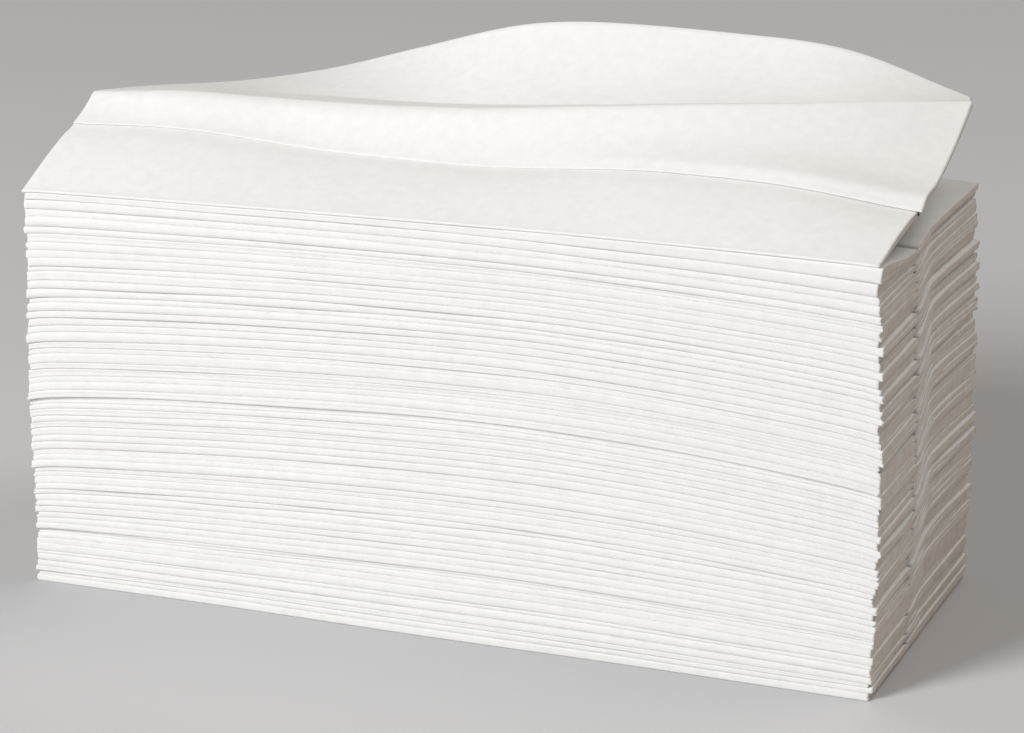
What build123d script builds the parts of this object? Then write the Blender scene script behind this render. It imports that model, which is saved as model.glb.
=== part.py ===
"""A stack of C-fold paper towels, its top towel sprung open. Millimetres, +Z up, +X along the folds."""
from build123d import *
import math
import os

# One towel: a base panel, a front flap folded in over it and a rear flap over them both
towel_length = 250
towel_depth = 97
sheet_thickness = 0.4
front_flap = 46
flap_overlap = 11
fold_air = 0.77
fold_corner = 0.35
tuck_gap = 0.4
tuck_run = 2.2

# The stack: its layers bow along X, and step up along Y where the rear flaps climb over the front ones
flat_towels = 59
rest_gap = 0.05
bow_height = 9.5
bow_crest = 25
bow_right_drop = 6
step_height = 7
step_run = 13
step_fall = 3.5
swell_turn = 0.9 * math.pi

# How far the towels slide out of line, and how that changes from one towel to the next
slide_length = 1.1
slide_depth = 1.5
slide_turn_length = 2.3
slide_turn_depth = 1.7

# The top towel, by ribs along its length: place from the left end as a share of the length, distance of the
# crease from the front fold, then the lift above the stack at the rear flap's edge, crease and rear fold
top_inset = 2.5
top_ribs = (
    (0.00, 49, 11.8, 16.9, 8.6),
    (0.10, 51, 12.4, 19.6, 10.8),
    (0.20, 53, 11.3, 19.4, 16.2),
    (0.33, 56, 10.0, 19.9, 25.2),
    (0.47, 60, 9.7, 20.9, 35.2),
    (0.70, 67, 13.5, 24.0, 38.3),
    (0.87, 77, 14.0, 26.2, 35.0),
    (1.00, 90, 11.0, 25.6, 25.0),
)

# Worked out from the sizes above
front = -towel_depth / 2
rear = towel_depth / 2
left = -towel_length / 2
right = towel_length / 2
towel_height = 3 * sheet_thickness + fold_air
towel_pitch = towel_height + rest_gap
rear_flap_edge = front_flap - flap_overlap
step_start = front + rear_flap_edge
step_end = step_start + step_run


def between(value, start, end):
    """Share of the way from start to end, also past either end."""
    return (value - start) / (end - start)


def bow(x):
    """The bow along the folds: lowest at the left end, highest at the crest."""
    if x <= bow_crest:
        return bow_height * between(x, left, bow_crest)
    return bow_height - bow_right_drop * between(x, bow_crest, right)


def step(y):
    """The step across the folds: level in front, up over the flaps, falling to the rear."""
    if y <= step_start:
        return 0
    if y <= step_end:
        return step_height * between(y, step_start, step_end)
    return step_height - step_fall * between(y, step_end, rear)


def level(towel, x, y):
    """Height of the surface under a towel of the stack, which swells from flat at the bottom one."""
    swell = math.sin(swell_turn * towel / flat_towels)
    return towel * towel_pitch + swell * (bow(x) - bow_height / 2 + step(y) - step_height / 2)


def strip(surface, knots, start, end):
    """Points along a surface from start to end, with every knot that lies between."""
    inner = [y for y in knots if min(start, end) < y < max(start, end)]
    ys = [start] + sorted(inner, reverse=end < start) + [end]
    return [(y, surface(y)) for y in ys]


def fold_section(low, high, knots, y_front, y_rear, y_front_flap, y_rear_flap):
    """Outline of the folded sheet between two surfaces, given the places of its folds and flap edges."""
    y_tucked = y_rear_flap - tuck_gap
    y_untucked = y_tucked - tuck_run
    inner_front = y_front + sheet_thickness
    inner_rear = y_rear - sheet_thickness
    low_inside = lambda y: low(y) + sheet_thickness
    high_inside = lambda y: high(y) - sheet_thickness
    tucked_top = lambda y: (low(y) + high(y) + sheet_thickness) / 2
    tucked_under = lambda y: (low(y) + high(y) - sheet_thickness) / 2
    return (
        strip(high, knots, y_untucked, y_front + fold_corner)
        + [(y_front, high(y_front) - fold_corner), (y_front, low(y_front) + fold_corner)]
        + strip(low, knots, y_front + fold_corner, y_rear - fold_corner)
        + [(y_rear, low(y_rear) + fold_corner), (y_rear, high(y_rear) - fold_corner)]
        + strip(high, knots, y_rear - fold_corner, y_rear_flap)
        + strip(high_inside, knots, y_rear_flap, inner_rear)
        + strip(low_inside, knots, inner_rear, inner_front)
        + strip(high_inside, knots, inner_front, y_untucked)
        + strip(tucked_under, knots, y_tucked, y_front_flap)
        + strip(tucked_top, knots, y_front_flap, y_tucked)
    )


def flat_section(towel, x, slide):
    """A flat towel's outline at x, in the slot between its own surface and the next towel's."""
    return fold_section(
        lambda y: level(towel, x, y),
        lambda y: level(towel + 1, x, y) - rest_gap,
        (step_start, step_end),
        front + slide,
        rear + slide,
        front + slide + front_flap,
        front + slide + rear_flap_edge,
    )


def top_rib(x):
    """The top towel's crease distance and lifts at x, in line between the two ribs on either side."""
    place = between(x, left, right - top_inset)
    pairs = list(zip(top_ribs, top_ribs[1:]))
    near, far = next(pair for pair in pairs if place <= pair[1][0] or pair == pairs[-1])
    share = between(place, near[0], far[0])
    return [a + share * (b - a) for a, b in zip(near[1:], far[1:])]


def top_section(x):
    """The top towel's outline at x: its panels keep their width and rise by the lifts from the front fold."""
    crease, *lifts = top_rib(x)
    widths = (rear_flap_edge, crease - rear_flap_edge, towel_depth - crease)
    ys = [front]
    zs = [level(flat_towels, x, front)]
    for width, lift in zip(widths, lifts):
        rise = zs[0] + lift - zs[-1]
        ys.append(ys[-1] + math.sqrt(width**2 - rise**2))
        zs.append(zs[0] + lift)

    def low(y):
        panel = 0 if y < ys[1] else 1 if y < ys[2] else 2
        return zs[panel] + between(y, ys[panel], ys[panel + 1]) * (zs[panel + 1] - zs[panel])

    y_front_flap = ys[1] + (ys[2] - ys[1]) * flap_overlap / widths[1]
    return fold_section(low, lambda y: low(y) + towel_height, ys, ys[0], ys[3], y_front_flap, ys[1])


def facet(*points):
    """A flat face with the given corners."""
    return Face(Wire.make_polygon(points))


os.makedirs("parts", exist_ok=True)

# Flat towels, from the bottom up
for towel in range(flat_towels):
    slide_x = slide_length * math.sin(slide_turn_length * towel)
    slide_y = slide_depth * math.sin(slide_turn_depth * towel)
    with BuildPart() as flat_towel:
        for x in (left + slide_x, bow_crest, right + slide_x):
            with BuildSketch(Plane.YZ.offset(x)):
                with BuildLine():
                    Polyline(*flat_section(towel, x, slide_y), close=True)
                make_face()
        loft(ruled=True)
    flat_towel.part.label = f"towel_{towel + 1:02d}"
    export_step(flat_towel.part, f"parts/{flat_towel.part.label}.step")

# Top towel, hinged up along its front fold: between two ribs each panel creases into two flat triangles
rib_xs = [left + rib[0] * (towel_length - top_inset) for rib in top_ribs]
outlines = [[(x, y, z) for y, z in top_section(x)] for x in sorted(rib_xs + [bow_crest])]
facets = [facet(*reversed(outlines[0])), facet(*outlines[-1])]
for near, far in zip(outlines, outlines[1:]):
    for i in range(len(near)):
        corners = [near[i - 1], near[i], far[i], far[i - 1]]
        towards_front = near[i][1] < near[i - 1][1]
        if towards_front:
            corners = corners[1:] + corners[:1]
        facets.append(facet(*corners[:3]))
        facets.append(facet(corners[0], *corners[2:]))
with BuildPart() as top_towel:
    add(Solid(Shell(facets)))
top_towel.part.label = "top_towel"
export_step(top_towel.part, "parts/top_towel.step")
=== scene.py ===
"""A stack of C-fold paper towels: every towel as a folded sheet with soft, uneven folds, and studio light."""
import math

import bpy
import numpy as np
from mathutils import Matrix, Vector


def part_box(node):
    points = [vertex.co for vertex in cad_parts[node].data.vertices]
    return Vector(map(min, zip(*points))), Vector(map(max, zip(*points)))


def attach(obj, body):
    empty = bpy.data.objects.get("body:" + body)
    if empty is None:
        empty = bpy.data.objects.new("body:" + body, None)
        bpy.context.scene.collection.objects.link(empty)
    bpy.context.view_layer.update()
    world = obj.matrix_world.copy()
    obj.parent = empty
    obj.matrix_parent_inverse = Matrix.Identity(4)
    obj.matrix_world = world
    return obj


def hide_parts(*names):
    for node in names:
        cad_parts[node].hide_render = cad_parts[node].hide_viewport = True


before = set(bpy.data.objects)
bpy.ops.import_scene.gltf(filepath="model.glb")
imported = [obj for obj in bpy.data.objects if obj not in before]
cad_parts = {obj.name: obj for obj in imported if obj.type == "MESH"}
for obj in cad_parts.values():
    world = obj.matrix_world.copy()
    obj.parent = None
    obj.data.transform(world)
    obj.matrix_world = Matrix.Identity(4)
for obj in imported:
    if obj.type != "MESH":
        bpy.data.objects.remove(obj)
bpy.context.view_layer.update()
rng = np.random.default_rng(7)

MM = 0.001

# The towels' nodes and the size of one towel, from the frame
FLAT_NODES = sorted(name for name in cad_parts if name.startswith("towel_"))
TOP_NODE = "top_towel"
FLAT_COUNT = len(FLAT_NODES)
bottom_low, bottom_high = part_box(FLAT_NODES[0])
LENGTH = bottom_high[0] - bottom_low[0]
DEPTH = bottom_high[1] - bottom_low[1]
LEFT, RIGHT = -LENGTH / 2, LENGTH / 2
FRONT = -DEPTH / 2

# How a sheet is folded: a folded towel's height with the gap over it, and the flaps' edges by their distance
# from the front fold
PITCH = 2.02 * MM
REAR_FLAP_EDGE = 35 * MM
FRONT_FLAP_EDGE = 46 * MM

# The layers' places in a towel's height, where there are two of them and then where the flaps overlap, and
# the runs over which they change
BASE_TOP = (0.485, 0.315)
FRONT_FLAP_UNDER = (0.515, 0.345)
FRONT_FLAP_TOP = (1, 0.665)
REAR_FLAP_UNDER = (0.515, 0.685)
TUCK_RUN = 3 * MM
FREE_RUN = 4 * MM

# The inner side of a fold: how far it stands out and opens, as shares of the outer side
INNER_OUT = 0.4
INNER_OPEN = 0.03

# The swell of the layers: a bow along X that droops at the cut ends, and a step along Y
BOW_HEIGHT = 9.5 * MM
BOW_CREST = 25 * MM
BOW_RIGHT_DROP = 6 * MM
BOW_LEFT_POWER = 1.7
BOW_RIGHT_POWER = 1.8
LEFT_DROOP = 0.9 * MM
RIGHT_DROOP = 0.63 * MM
DROOP_RUN = 4 * MM
STEP_HEIGHT = 7 * MM
STEP_START = 36 * MM
STEP_RUN = 14 * MM
STEP_FALL = 3.5 * MM
STEP_FALL_SHARE = 0.75
SWELL_TURN = 0.9 * math.pi

# How uneven the levels between the towels are
LEVEL_OFFSET = 0.42 * MM
LEVEL_TILT = 0.14 * MM
LEVEL_WAVE = 0.12 * MM
LEVEL_TURNS = (1.2, 3.6)

# The puffed folds under the top towel's right end: the rise of the highest levels, and its run to the rear
PUFF = {FLAT_COUNT - 2: 0.5 * MM, FLAT_COUNT - 1: 1.6 * MM, FLAT_COUNT: 4.2 * MM}
PUFF_RUN = 30 * MM

# A flat towel's mesh: lines across it, in millimetres from the front fold of a towel of nominal depth, then
# stations in from the cut ends and along the middle, and samples round a fold
NOMINAL_DEPTH = 97
FLAT_LINES = np.array(
    [0.7, 6, 14, 22, 29, 32, 35, 37.5, 40, 42]
    + [44, 46, 48.5, 51, 54, 60, 70, 82, 90, 96.3]
)
END_STATIONS = np.array([0, 0.6, 1.5, 3, 5.5, 9]) * MM
MIDDLE_INSET = 14 * MM
MIDDLE_STATIONS = 42
FLAT_FOLD_SAMPLES = 7

# How a flat towel lies: its slides as shares of its solid's, the sway of its ends up the stack, the sways of
# its rear fold by size, turn and phase, and the share of the depth over which each fold's line is felt
SLIDE_X_SHARE = 0.25
SLIDE_Y_SHARE = 0.2
LEFT_SWAY = 0.4 * MM
LEFT_SWAY_TURN = 9
RIGHT_SWELL = 1.5 * MM
RIGHT_INSET = 0.9 * MM
REAR_SWAYS = ((0.9 * MM, 33, 1), (0.6 * MM, 17, 0))
FOLD_BLEND = 0.6

# How the flat towels differ by chance: spread of their ends and folds, ragged ends, gaps, dents and roundness
WOBBLE_WAVES = 3
WOBBLE_LEAST_TURNS = 0.5
LEFT_SPREAD = 0.12 * MM
RIGHT_SPREAD = 0.35 * MM
FRONT_SPREAD = 0.14 * MM
REAR_SPREAD = 0.15 * MM
FRONT_WOBBLE = 0.14 * MM
REAR_WOBBLE = 0.12 * MM
FOLD_TURNS = 4
RAGGED = 0.12 * MM
RAGGED_TURNS = 9
RAGGED_RUN = 2 * MM
GAP_LEAST = 0.03 * MM
GAP_SPREAD = 0.12 * MM
GAP_POWER = 4
DENT_MEAN = 0.08 * MM
DENT_SPREAD = 0.14 * MM
DENT_HEIGHT_SHARE = 0.14
ROUNDNESS = (0.08, 0.24)
BULGE_LEAST = 0.14 * MM
BULGE_MOST = 1.0 * MM

# The top towel's panels: in front of the rear flap's edge, from there to the crease, and behind the crease
FRONT_PANEL, MIDDLE_PANEL, REAR_PANEL = 0, 1, 2

# The top towel at places along its length: heights just under its upper side, over the flat stack's nominal
# top, at the rear flap's edge, the crease and the rear fold, then its reach to the rear
NOMINAL_TOP = 117.8 * MM
TOP_PLACES = np.array([0, 0.1, 0.2, 0.33, 0.47, 0.6, 0.72, 0.86, 1.0])
TOP_LINE = np.array([10.5, 11.8, 11.1, 10.3, 10.6, 12.3, 14.4, 14.0, 11.0]) * MM
TOP_CREASE = np.array([15.7, 16.9, 16.7, 17.8, 20.5, 23.8, 26.0, 27.5, 26.8]) * MM
TOP_REAR = np.array([6.8, 9.9, 15.6, 25.4, 36.2, 39.2, 39.4, 36.6, 25.6]) * MM
TOP_REACH = np.array([92.5, 95, 95.5, 94, 91.5, 91, 91, 92, 94]) * MM

# At the same places: the crease as a share of the depth, the length of the shelf that falls back to it, the
# curl of the rear flap's edge, and the sag of the rear panel
CREASE_PLACE = np.array([0.55, 0.61, 0.64, 0.645, 0.635, 0.64, 0.665, 0.75, 0.92])
SHELF = np.array([5, 13, 15, 14, 10, 6, 3, 1, 0]) * MM
FLAP_CURL = np.array([0.2, 0.1, 0.0, 0.0, 0.2, 0.5, 0.9, 1.4, 1.6]) * MM
REAR_SAG = np.array([0.0, 0.0, 0.4, 1.0, 1.6, 2.0, 2.0, 1.6, 0.6]) * MM

# How its panels lie: how far its lower side is under the heights given, how far its front fold sinks into the
# gap over the stack, the belly of its front panel, and the slope, least share and crest of its shelf
TOP_SKIN = 1.18 * MM
FRONT_SINK = 0.12 * MM
FRONT_BELLY = 0.2 * MM
SHELF_SLOPE = 0.15
SHELF_LEAST = 0.02
CREST_SOFTNESS = 0.005

# Where its rear flap's edge curls up and where the curl fades, by the distance behind that edge
CURL_RUN = (-1 * MM, 3 * MM)
CURL_FADE = (3 * MM, 17 * MM)

# Its thickness at the front fold and behind it, the share of the depth over which it grows, and how far its
# folds stand out
TOP_THICKNESS = (0.9 * MM, 1.5 * MM)
THICKENING_SHARE = 0.2
TOP_FOLD_OUT = 0.6 * MM

# The outline of its right end, by the shift along X at the start and end of each panel, and its free corner
END_FRONT = (-1.2 * MM, -0.3 * MM)
END_MIDDLE = (0.3 * MM, -0.2 * MM)
END_REAR = (-0.2 * MM, -2.6 * MM)
FREE_CORNER = 0.6 * MM
END_START = 0.8

# Its ripples: a short one, broken up across the depth, and a long one. A wave is a wavelength divided by a
# whole turn, and a fade is the share of the depth over which a ripple grows from the front fold
SHORT_RIPPLE = 0.16 * MM
SHORT_WAVE = 9 * MM
SHORT_SLANT = 3
SHORT_BREAK = 9
SHORT_BREAK_PHASE = 1.3
SHORT_FADE = 0.15
LONG_RIPPLE = 0.22 * MM
LONG_WAVE = 21 * MM
LONG_SLANT = -5
LONG_PHASE = 1
RIPPLE_FADE = 0.3

# The layers in its thickness: the rear flap's under side, the base's upper side by panel, the front flap's
# under side before and where it is tucked, and the shares of the front panel between which it tucks
TOP_REAR_FLAP_UNDER = 0.8
TOP_BASE_TOP = (0.45, 0.31, 0.32)
TOP_FRONT_FLAP_UNDER = (0.55, 0.35)
TUCK_START = 0.78
TUCK_END = 0.92

# Its mesh: stations along it, rows across each panel, the middle rows that the tucked flap reaches, and
# samples round a fold
TOP_STATIONS = np.concatenate([[0, 0.003, 0.008], np.linspace(0.016, 0.984, 119), [0.992, 0.997, 1]])
FRONT_ROWS = np.array([0.012, 0.05, 0.15, 0.3, 0.45, 0.6, 0.72, 0.82, 0.9, 0.96, 1])
MIDDLE_ROWS = np.array(
    [-0.035, -0.01, 0.03, 0.07, 0.11, 0.16, 0.25, 0.36, 0.48]
    + [0.58, 0.67, 0.74, 0.8, 0.85, 0.89, 0.92, 0.95, 0.97, 0.985]
)
REAR_ROWS = np.array(
    [0, 0.012, 0.025, 0.04, 0.055, 0.07, 0.09, 0.11, 0.14]
    + [0.18, 0.24, 0.32, 0.42, 0.54, 0.66, 0.78, 0.88, 0.95, 0.99]
)
TUCKED_ROWS = MIDDLE_ROWS[2:9]
TOP_FOLD_SAMPLES = 9

# The paper: its tones, its cut ends' tones (darker and warmer, partly the cut paper's own tone and partly
# painted shade of the end faces that turn away from the key), and its fibres and streaks
PAPER_DARK = (0.83, 0.825, 0.81)
PAPER_LIGHT = (0.87, 0.865, 0.85)
CUT_PAINTED_SHADE_DARK = (0.67, 0.60, 0.535)
CUT_PAINTED_SHADE_LIGHT = (0.76, 0.69, 0.62)
TONE_SCALE = 300
FIBRE_SCALE = 1500
FIBRE_BUMP = 0.03 * MM
STREAK_STRETCH = (16, 2600, 1)
STREAK_BUMP = 0.06 * MM

# The photograph's viewpoint: a long lens from the right, a little above, with its focal length in pixels
AZIMUTH = math.radians(20.95)
ELEVATION = math.radians(18.6)
DISTANCE = 1.160
VIEW_AIM = Vector((0.0063, -0.0080, 0.0681))
FOCAL_PIXELS = 4121
IMAGE_WIDTH = 1024
SENSOR_WIDTH = 36

# How far the floor reaches each way, and the point that the lamps face
FLOOR_REACH = 4
LIGHT_AIM = (0, 0, 0.06)


def smooth(t):
    """Smooth step from 0 to 1."""
    t = np.clip(t, 0, 1)
    return t * t * (3 - 2 * t)


def hump(t):
    """An arch of height 1 over t from 0 to 1."""
    return 4 * t * (1 - t)


def blend(pair, share):
    """The value at a share of the way from the first of a pair to the second."""
    return pair[0] + (pair[1] - pair[0]) * share


def bow(x):
    """The bow along X: lowest at the left end, highest at the crest, drooping at the cut ends."""
    left_part = 1 - np.clip((BOW_CREST - x) / (BOW_CREST - LEFT), 0, None) ** BOW_LEFT_POWER
    right_part = np.clip((x - BOW_CREST) / (RIGHT - BOW_CREST), 0, None) ** BOW_RIGHT_POWER
    droop = LEFT_DROOP * np.exp((LEFT - x) / DROOP_RUN) + RIGHT_DROOP * np.exp((x - RIGHT) / DROOP_RUN)
    return BOW_HEIGHT * left_part - BOW_RIGHT_DROP * right_part - droop


def step(y):
    """The step along Y: level in front, up over the flaps, falling to the rear."""
    after_start = y - FRONT - STEP_START
    rise = STEP_HEIGHT * smooth(after_start / STEP_RUN)
    rest = DEPTH - STEP_START - STEP_RUN
    return rise - STEP_FALL * smooth((after_start - STEP_RUN) / rest * STEP_FALL_SHARE)


class Levels:
    """The surfaces between neighbouring towels, uneven by chance but for the lowest and the highest."""

    def __init__(self):
        count = FLAT_COUNT + 1
        self.offset = rng.uniform(-LEVEL_OFFSET, LEVEL_OFFSET, count)
        self.tilt = rng.uniform(-LEVEL_TILT, LEVEL_TILT, count)
        self.wave = rng.uniform(0, LEVEL_WAVE, count)
        self.phase = rng.uniform(0, 2 * math.pi, count)
        self.turns = rng.uniform(*LEVEL_TURNS, count)
        for values in (self.offset, self.tilt, self.wave):
            values[0] = 0
            values[-1] = 0

    def height(self, k, x, y):
        """Height of the surface under towel k, counted from 0."""
        swell = math.sin(SWELL_TURN * k / FLAT_COUNT)
        sag = bow(x) - BOW_HEIGHT / 2 + step(y) - STEP_HEIGHT / 2
        place = x / RIGHT
        uneven = self.offset[k] + self.tilt[k] * place
        uneven = uneven + self.wave[k] * np.sin(self.turns[k] * math.pi * place + self.phase[k])
        to_right = np.clip(0.5 + 0.5 * place, 0, 1) ** 2
        puff = PUFF.get(k, 0) * to_right * (1 - smooth((y - FRONT) / PUFF_RUN))
        return k * PITCH + swell * sag + uneven + puff


def fold_turn(count):
    """Samples round a fold: how far it stands out, its height from 1 to 0, and its inner side's height."""
    turn = np.linspace(0, math.pi, count + 2)[1:-1]
    height = 0.5 + 0.5 * np.cos(turn)
    return np.sin(turn), height, 0.5 + INNER_OPEN * (height - 0.5)


def flat_path(lines):
    """A flat towel's section, from the rear flap's edge round to the front flap's edge.

    Each sample has an outer and an inner point: its distance from the front fold, its height as a share of
    the towel's own height there, and how far it stands out at a fold, to the front if negative."""
    out, height, inner_height = fold_turn(FLAT_FOLD_SAMPLES)
    outer, inner = [], []

    def add(d, outer_share, inner_share, outer_out=0, inner_out=0):
        zero = np.zeros_like(d)
        outer.append(np.stack([d, zero + outer_share, zero + outer_out], 1))
        inner.append(np.stack([d, zero + inner_share, zero + inner_out], 1))

    def tucked(d):
        return smooth((d - REAR_FLAP_EDGE + TUCK_RUN) / TUCK_RUN)

    def freed(d):
        return smooth((d - FRONT_FLAP_EDGE) / FREE_RUN)

    rear_flap = lines[lines >= REAR_FLAP_EDGE]
    base = lines[::-1]
    front_flap = lines[lines <= FRONT_FLAP_EDGE]
    add(rear_flap, 1, blend(REAR_FLAP_UNDER, 1 - freed(rear_flap)))
    add(np.full(len(out), lines[-1]), height, inner_height, out, INNER_OUT * out)
    add(base, 0, blend(BASE_TOP, tucked(base) - freed(base)))
    add(np.full(len(out), lines[0]), 1 - height, 1 - inner_height, -out, -INNER_OUT * out)
    add(front_flap, blend(FRONT_FLAP_TOP, tucked(front_flap)), blend(FRONT_FLAP_UNDER, tucked(front_flap)))
    return np.concatenate(outer), np.concatenate(inner)


def sheet_mesh(name, outer, inner):
    """A closed mesh from two grids of points, stations by samples, on the two sides of the sheet."""
    stations, samples, _ = outer.shape
    half = stations * samples
    points = np.concatenate([outer.reshape(-1, 3), inner.reshape(-1, 3)])
    i, j = np.meshgrid(np.arange(stations - 1), np.arange(samples - 1), indexing="ij")
    a = (i * samples + j).ravel()
    b, c, d = a + 1, a + samples + 1, a + samples
    sides = [np.stack([a, b, c, d], 1), np.stack([a, d, c, b], 1) + half]

    # The flaps' edges, then the cut ends
    rims = []
    for j, flip in ((0, True), (samples - 1, False)):
        start = np.arange(stations - 1) * samples + j
        rim = np.stack([start, start + half, start + half + samples, start + samples], 1)
        rims.append(rim[:, ::-1] if flip else rim)
    for i, flip in ((0, False), (stations - 1, True)):
        start = i * samples + np.arange(samples - 1)
        rim = np.stack([start, start + half, start + half + 1, start + 1], 1)
        rims.append(rim[:, ::-1] if flip else rim)
    quads = np.concatenate(sides + rims)
    mesh = bpy.data.meshes.new(name)
    mesh.from_pydata(points.tolist(), [], quads.tolist())
    # The cut ends take the second material, whose darker, warmer tone is partly painted shade
    cut = np.zeros(len(quads), dtype=np.int32)
    cut[-2 * (samples - 1):] = 1
    mesh.polygons.foreach_set("material_index", cut)
    mesh.polygons.foreach_set("use_smooth", np.arange(len(quads)) < 2 * len(a))

    # The sheet's own flat coordinates, in metres along and across
    middle = outer[stations // 2]
    across = np.concatenate([[0], np.cumsum(np.linalg.norm(np.diff(middle, axis=0), axis=1))])
    flat = np.stack([outer[:, :, 0], np.repeat(across[None, :], stations, 0)], 2).reshape(-1, 2)
    flat = np.concatenate([flat, flat + (0, 2 * across[-1])])
    corner = np.empty(len(mesh.loops), dtype=np.int32)
    mesh.loops.foreach_get("vertex_index", corner)
    mesh.uv_layers.new(name="flat").data.foreach_set("uv", flat[corner].ravel().astype(np.float32))
    mesh.update()
    piece = bpy.data.objects.new(name, mesh)
    bpy.context.scene.collection.objects.link(piece)
    return piece


def finish_piece(piece, node, materials):
    """Give a towel its materials, attach it to the root body, and hide the solid it stands for."""
    for material in materials:
        piece.data.materials.append(material)
    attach(piece, "root")
    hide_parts(node)


def tissue_material(name, dark, light, streak):
    """Matt white tissue: fine fibres and slow changes of tone, and on folded edges fine lines along them."""
    material = bpy.data.materials.new(name)
    material.use_nodes = True
    nodes, links = material.node_tree.nodes, material.node_tree.links
    shader = nodes["Principled BSDF"]
    shader.inputs["Roughness"].default_value = 0.95
    shader.inputs["Specular IOR Level"].default_value = 0.1
    place = nodes.new("ShaderNodeTexCoord")

    def noise(scale, stretch=None):
        node = nodes.new("ShaderNodeTexNoise")
        node.inputs["Scale"].default_value = scale
        node.inputs["Detail"].default_value = 3
        source = place.outputs["Object"]
        if stretch:
            mapping = nodes.new("ShaderNodeMapping")
            mapping.inputs["Scale"].default_value = stretch
            links.new(place.outputs["UV"], mapping.inputs["Vector"])
            source = mapping.outputs["Vector"]
        links.new(source, node.inputs["Vector"])
        return node.outputs["Fac"]

    def bump(height, distance, below):
        node = nodes.new("ShaderNodeBump")
        node.inputs["Strength"].default_value = 1.0
        node.inputs["Distance"].default_value = distance
        links.new(height, node.inputs["Height"])
        if below:
            links.new(below, node.inputs["Normal"])
        return node.outputs["Normal"]

    tone = nodes.new("ShaderNodeValToRGB")
    tone.color_ramp.elements[0].position = 0.3
    tone.color_ramp.elements[0].color = (*dark, 1)
    tone.color_ramp.elements[1].position = 0.7
    tone.color_ramp.elements[1].color = (*light, 1)
    links.new(noise(TONE_SCALE), tone.inputs["Fac"])
    links.new(tone.outputs["Color"], shader.inputs["Base Color"])
    normal = bump(noise(FIBRE_SCALE), FIBRE_BUMP, None)
    if streak:
        normal = bump(noise(scale=1, stretch=STREAK_STRETCH), streak, normal)
    links.new(normal, shader.inputs["Normal"])
    return material


def wobble(x, size, turns):
    """A soft random line along X: a few waves of random phase, height and length."""
    value = np.zeros_like(x)
    for _ in range(WOBBLE_WAVES):
        phase = rng.uniform(0, 2 * math.pi)
        height = rng.normal(0, size)
        value += height * np.sin(rng.uniform(WOBBLE_LEAST_TURNS, turns) * math.pi * x / RIGHT + phase)
    return value


def flat_towel(k, node, outer_path, inner_path):
    """Flat towel k, in the slot between two levels, with a ragged front, rear and cut ends."""
    node_low, node_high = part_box(node)
    slide_x = SLIDE_X_SHARE * (node_low[0] + node_high[0]) / 2
    slide_y = SLIDE_Y_SHARE * (node_low[1] + node_high[1]) / 2
    share = k / FLAT_COUNT
    left_sway = LEFT_SWAY * math.sin(LEFT_SWAY_TURN * share)
    right_sway = RIGHT_SWELL * math.sin(math.pi * share) - RIGHT_INSET
    rear_sway = sum(size * math.sin(turn * share + phase) for size, turn, phase in REAR_SWAYS)

    left = LEFT + slide_x + left_sway + rng.normal(0, LEFT_SPREAD)
    right = RIGHT + slide_x + right_sway + rng.normal(0, RIGHT_SPREAD)
    middle = np.linspace(LEFT + MIDDLE_INSET, RIGHT - MIDDLE_INSET, MIDDLE_STATIONS)
    x = np.concatenate([left + END_STATIONS, middle, right - END_STATIONS[::-1]])
    front_line = slide_y + rng.normal(0, FRONT_SPREAD) + wobble(x, FRONT_WOBBLE, FOLD_TURNS)
    rear_line = rear_sway + rng.normal(0, REAR_SPREAD) + wobble(x, REAR_WOBBLE, FOLD_TURNS)
    gap = GAP_LEAST + GAP_SPREAD * rng.random() ** GAP_POWER
    dent = max(0, rng.normal(DENT_MEAN, DENT_SPREAD))
    roundness = rng.uniform(*ROUNDNESS)
    ragged = wobble(np.linspace(LEFT, RIGHT, len(outer_path)), RAGGED, RAGGED_TURNS)
    near_end = np.exp((left - x) / RAGGED_RUN) + np.exp((x - right) / RAGGED_RUN)

    def side(path):
        d, height, out = (column[None, :] for column in path.T)
        xx = x[:, None] + near_end[:, None] * ragged[None, :]
        to_front = 1 - smooth(d / (FOLD_BLEND * DEPTH))
        to_rear = smooth((d - (1 - FOLD_BLEND) * DEPTH) / (FOLD_BLEND * DEPTH))
        y = FRONT + d + front_line[:, None] * to_front + rear_line[:, None] * to_rear
        low = levels.height(k, xx, y)
        high = levels.height(k + 1, xx, y) - gap
        bulge = np.clip(roundness * (high - low), BULGE_LEAST, BULGE_MOST)
        dented = dent * np.clip(-out, 0, 1) * np.exp(-(((height - 0.5) / DENT_HEIGHT_SHARE) ** 2))
        return np.stack([xx, y + out * bulge + dented, low + height * (high - low)], 2)

    return sheet_mesh(f"folded_{node}", side(outer_path), side(inner_path))


def flat_towels():
    """The flat towels from the bottom up, each resting on the last. Returns what the next one up rests on."""
    lines = FLAT_LINES / NOMINAL_DEPTH * DEPTH
    for edge in (REAR_FLAP_EDGE, FRONT_FLAP_EDGE):
        lines[np.argmin(np.abs(lines - edge))] = edge
    paths = flat_path(lines)
    rests_on = []
    for k, node in enumerate(FLAT_NODES):
        piece = flat_towel(k, node, *paths)
        finish_piece(piece, node, (folded_tissue, cut_edge_painted_shade))
        rests_on = [piece.name]
    return rests_on


def along(values, place):
    """Smooth values between the places along the top towel, by a cubic through the given ones."""
    slopes = np.gradient(values, TOP_PLACES)
    i = np.clip(np.searchsorted(TOP_PLACES, place) - 1, 0, len(TOP_PLACES) - 2)
    span = TOP_PLACES[i + 1] - TOP_PLACES[i]
    t = (place - TOP_PLACES[i]) / span
    return (
        (2 * t**3 - 3 * t**2 + 1) * values[i]
        + (t**3 - 2 * t**2 + t) * span * slopes[i]
        + (3 * t**2 - 2 * t**3) * values[i + 1]
        + (t**3 - t**2) * span * slopes[i + 1]
    )


def by_panel(panel, front, middle, rear):
    """A value for each sample of the top towel, by the panel it lies in."""
    return np.where(panel == FRONT_PANEL, front, np.where(panel == MIDDLE_PANEL, middle, rear))


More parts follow.
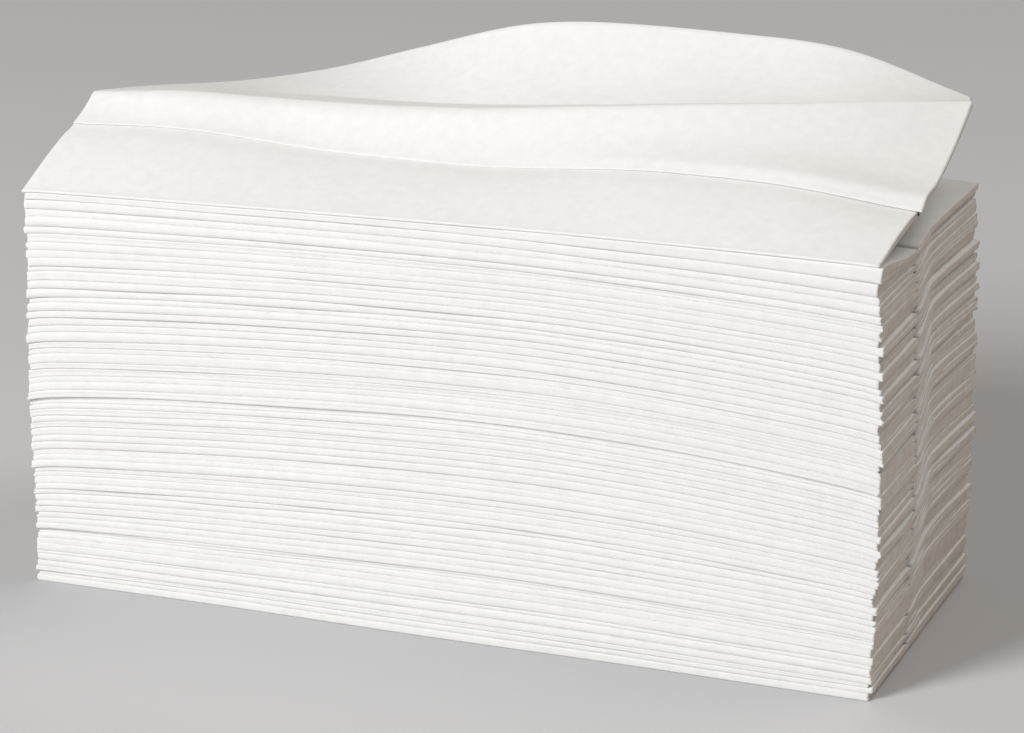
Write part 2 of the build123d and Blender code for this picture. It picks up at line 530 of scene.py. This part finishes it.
def shelved(t, shelf, crest):
    """A steepening rise from 0 that turns, at a soft crest above 1, into a shelf sloping back down to 1."""
    climb = t / (1 - shelf)
    rise = (1 + crest) * climb * (0.5 + 0.5 * climb)
    back = 1 + crest * (1 - t) / np.maximum(shelf, SHELF_LEAST)
    return 0.5 * (rise + back - np.sqrt((rise - back) ** 2 + CREST_SOFTNESS * shelf))


def ripple(x, v):
    """The top towel's ripples at x and at v, a share of the depth."""
    breaks = np.sin(SHORT_BREAK * v + SHORT_BREAK_PHASE) * smooth(v / SHORT_FADE)
    short = SHORT_RIPPLE * np.sin(x / SHORT_WAVE + SHORT_SLANT * v) * breaks
    long = LONG_RIPPLE * np.sin(x / LONG_WAVE + LONG_SLANT * v + LONG_PHASE)
    return (short + long) * smooth(v / RIPPLE_FADE)


def top_path():
    """The top towel's section, from the rear flap's edge round to the front flap's edge, outer and inner.

    Each sample has its panel, its place in the panel from the front, its height in the towel's thickness, how
    far it stands out at a fold, and 1 if it is on the loose rear flap."""
    out, height, inner_height = fold_turn(TOP_FOLD_SAMPLES)
    outer, inner = [], []

    def add(panel, t, outer_share, inner_share, outer_out=0, inner_out=0, loose=0):
        zero = np.zeros_like(t)
        outer.append(np.stack([zero + panel, t, zero + outer_share, zero + outer_out, zero + loose], 1))
        inner.append(np.stack([zero + panel, t, zero + inner_share, zero + inner_out, zero + loose], 1))

    tucked = smooth((FRONT_ROWS - TUCK_START) / (TUCK_END - TUCK_START))
    rear_fold = np.full(len(out), REAR_ROWS[-1])
    front_fold = np.full(len(out), FRONT_ROWS[0])
    add(MIDDLE_PANEL, MIDDLE_ROWS, 1, TOP_REAR_FLAP_UNDER, loose=1)
    add(REAR_PANEL, REAR_ROWS, 1, TOP_REAR_FLAP_UNDER, loose=1)
    add(REAR_PANEL, rear_fold, height, inner_height, out, INNER_OUT * out, loose=1)
    add(REAR_PANEL, REAR_ROWS[::-1], 0, TOP_BASE_TOP[REAR_PANEL])
    add(MIDDLE_PANEL, MIDDLE_ROWS[::-1], 0, TOP_BASE_TOP[MIDDLE_PANEL])
    add(FRONT_PANEL, FRONT_ROWS[::-1], 0, TOP_BASE_TOP[FRONT_PANEL])
    add(FRONT_PANEL, front_fold, 1 - height, 1 - inner_height, -out, -INNER_OUT * out)
    add(FRONT_PANEL, FRONT_ROWS, blend(FRONT_FLAP_TOP, tucked), blend(TOP_FRONT_FLAP_UNDER, tucked))
    add(MIDDLE_PANEL, TUCKED_ROWS, FRONT_FLAP_TOP[1], TOP_FRONT_FLAP_UNDER[1])
    return np.concatenate(outer), np.concatenate(inner)


def top_towel(rests_on):
    """The top towel, sprung up from its front fold, with a slanting pleat across its rear flap."""
    place = TOP_STATIONS[:, None]
    line = REAR_FLAP_EDGE / DEPTH
    crease = along(CREASE_PLACE, place)
    reach = along(TOP_REACH, place)
    curl, sag, shelf = (along(values, place) for values in (FLAP_CURL, REAR_SAG, SHELF))
    front_z = levels.height(FLAT_COUNT, LEFT + place * LENGTH, FRONT) - NOMINAL_TOP - FRONT_SINK
    heights = (TOP_LINE, TOP_CREASE, TOP_REAR)
    line_z, crease_z, rear_z = (along(values, place) - TOP_SKIN for values in heights)
    shelf_share = shelf / ((crease - line) * reach)
    crest = SHELF_SLOPE * shelf / (crease_z - line_z)

    def side(path):
        panel, t, height, out, loose = (column[None, :] for column in path.T)
        v = by_panel(panel, line * t, line + (crease - line) * t, crease + (1 - crease) * t)
        z = by_panel(
            panel,
            front_z + (line_z - front_z) * t + FRONT_BELLY * hump(t),
            line_z + (crease_z - line_z) * shelved(t, shelf_share, crest),
            crease_z + (rear_z - crease_z) * t - sag * hump(t),
        )
        y = FRONT + v * reach + out * TOP_FOLD_OUT

        # Only the loose rear flap has a curled edge and a free corner at the right end
        loose_middle = loose * (panel == MIDDLE_PANEL)
        inward = (v - line) * reach
        curl_rise = smooth((inward - CURL_RUN[0]) / (CURL_RUN[1] - CURL_RUN[0]))
        curl_fall = smooth((inward - CURL_FADE[0]) / (CURL_FADE[1] - CURL_FADE[0]))
        z = z + loose_middle * curl * curl_rise * (1 - curl_fall)
        end = by_panel(panel, blend(END_FRONT, t), blend(END_MIDDLE, t), blend(END_REAR, t))
        end = end + loose_middle * FREE_CORNER * (1 - t)
        x = LEFT + place * LENGTH + end * smooth((place - END_START) / (1 - END_START))

        thickness = blend(TOP_THICKNESS, smooth(v / THICKENING_SHARE))
        return np.stack([x, y, NOMINAL_TOP + z + ripple(x, v) + height * thickness], 2)

    outer_path, inner_path = top_path()
    piece = sheet_mesh("sprung_top_towel", side(outer_path), side(inner_path))
    finish_piece(piece, TOP_NODE, (tissue, cut_edge_painted_shade))


def stage():
    """A pale floor."""
    material = bpy.data.materials.new("floor")
    material.use_nodes = True
    shader = material.node_tree.nodes["Principled BSDF"]
    shader.inputs["Base Color"].default_value = (0.6, 0.6, 0.61, 1)
    shader.inputs["Roughness"].default_value = 0.9
    mesh = bpy.data.meshes.new("floor")
    corners = [(x * FLOOR_REACH, y * FLOOR_REACH, 0) for x, y in ((-1, -1), (1, -1), (1, 1), (-1, 1))]
    mesh.from_pydata(corners, [], [(0, 1, 2, 3)])
    mesh.materials.append(material)
    floor = bpy.data.objects.new("floor", mesh)
    bpy.context.scene.collection.objects.link(floor)


def lamp(name, place, size, power, colour):
    data = bpy.data.lights.new(name, "AREA")
    data.shape = "DISK"
    data.size = size
    data.energy = power
    data.color = colour
    lamp_object = bpy.data.objects.new(name, data)
    lamp_object.location = place
    lamp_object.rotation_euler = (Vector(LIGHT_AIM) - Vector(place)).to_track_quat("-Z", "Y").to_euler()
    bpy.context.scene.collection.objects.link(lamp_object)


def lights():
    """A broad key from the front left, a weak fill from above, and a dim warm surround."""
    lamp("key", place=(-1.36, -2.34, 1.62), size=1.1, power=85, colour=(0.985, 0.995, 1.0))
    lamp("fill", place=(0.9, 0.5, 2.0), size=1.2, power=12, colour=(1.0, 0.95, 0.90))
    world = bpy.data.worlds.new("studio")
    world.use_nodes = True
    background = world.node_tree.nodes["Background"]
    background.inputs["Color"].default_value = (1.0, 0.95, 0.90, 1)
    background.inputs["Strength"].default_value = 0.22
    bpy.context.scene.world = world
    bpy.context.scene.view_settings.view_transform = "Standard"


def camera():
    """A camera at the photograph's viewpoint."""
    across = math.cos(ELEVATION)
    direction = Vector((math.sin(AZIMUTH) * across, -math.cos(AZIMUTH) * across, math.sin(ELEVATION)))
    data = bpy.data.cameras.new("camera")
    data.sensor_width = SENSOR_WIDTH
    data.lens = SENSOR_WIDTH * FOCAL_PIXELS / IMAGE_WIDTH
    view = bpy.data.objects.new("camera", data)
    view.location = VIEW_AIM + direction * DISTANCE
    view.rotation_euler = (-direction).to_track_quat("-Z", "Y").to_euler()
    bpy.context.scene.collection.objects.link(view)
    bpy.context.scene.camera = view


tissue = tissue_material("tissue", PAPER_DARK, PAPER_LIGHT, 0)
folded_tissue = tissue_material("folded_tissue", PAPER_DARK, PAPER_LIGHT, STREAK_BUMP)
# The cut ends' material: a darker, warmer tone, partly the cut paper's own and partly painted shade of the
# shaded end faces
cut_edge_painted_shade = tissue_material("cut_edge_painted_shade", CUT_PAINTED_SHADE_DARK, CUT_PAINTED_SHADE_LIGHT, 0)
levels = Levels()
top_towel(rests_on=flat_towels())
stage()
lights()
camera()
